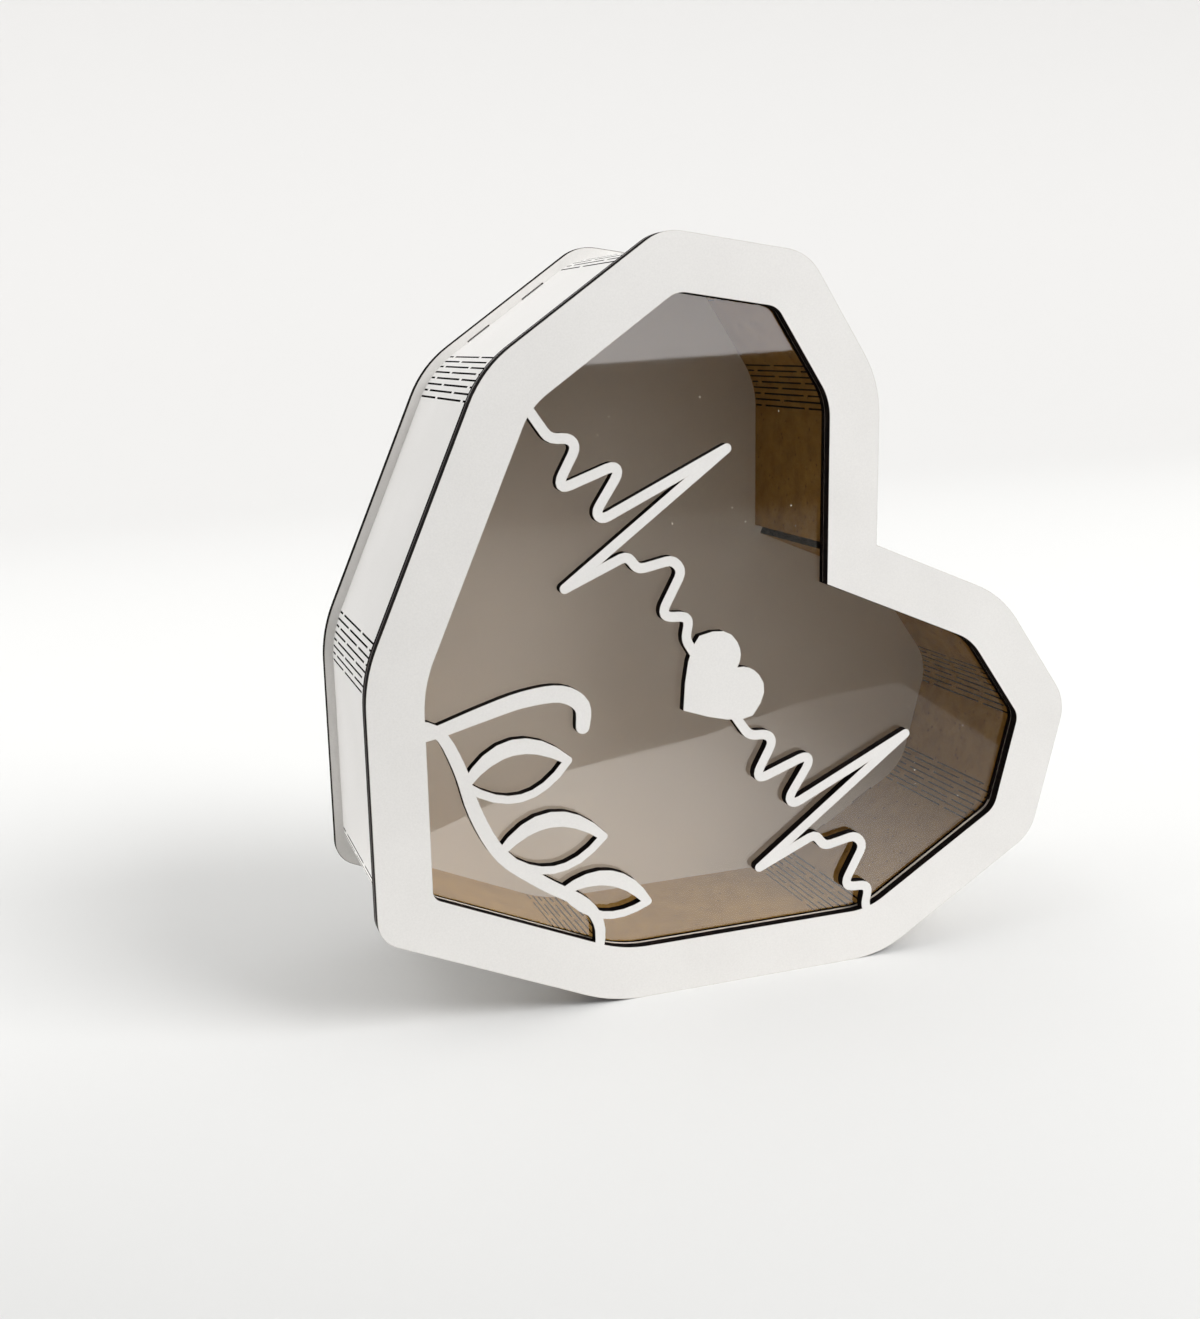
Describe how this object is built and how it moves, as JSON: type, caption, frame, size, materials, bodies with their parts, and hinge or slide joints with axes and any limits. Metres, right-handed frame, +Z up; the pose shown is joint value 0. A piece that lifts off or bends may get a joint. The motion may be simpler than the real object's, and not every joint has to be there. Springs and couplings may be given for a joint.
{
  "type": "heart-shaped gift box",
  "caption": "Faceted heart-shaped box of white laser-cut board, leaning on one lower side, with a smoked window behind pulse-line and vine line work.",
  "frame": {"origin": "on the standing surface, under the middle of the whole box", "axes": "+Z up, the window faces -Y, the heart's tip points towards -X and its notch towards +X and +Z"},
  "size_m": [0.2342, 0.0816, 0.2332],
  "materials": {
    "laminate": "satin",
    "wall_white": "satin",
    "fibreboard": "matte",
    "smoked_pane": "polished"
  },
  "bodies": {
    "root": {"front_plate": "laminate", "window_pane": "smoked_pane", "rear_frame": "fibreboard", "wall_strip": "wall_white", "back_plate": "laminate"}
  },
  "joints": []
}
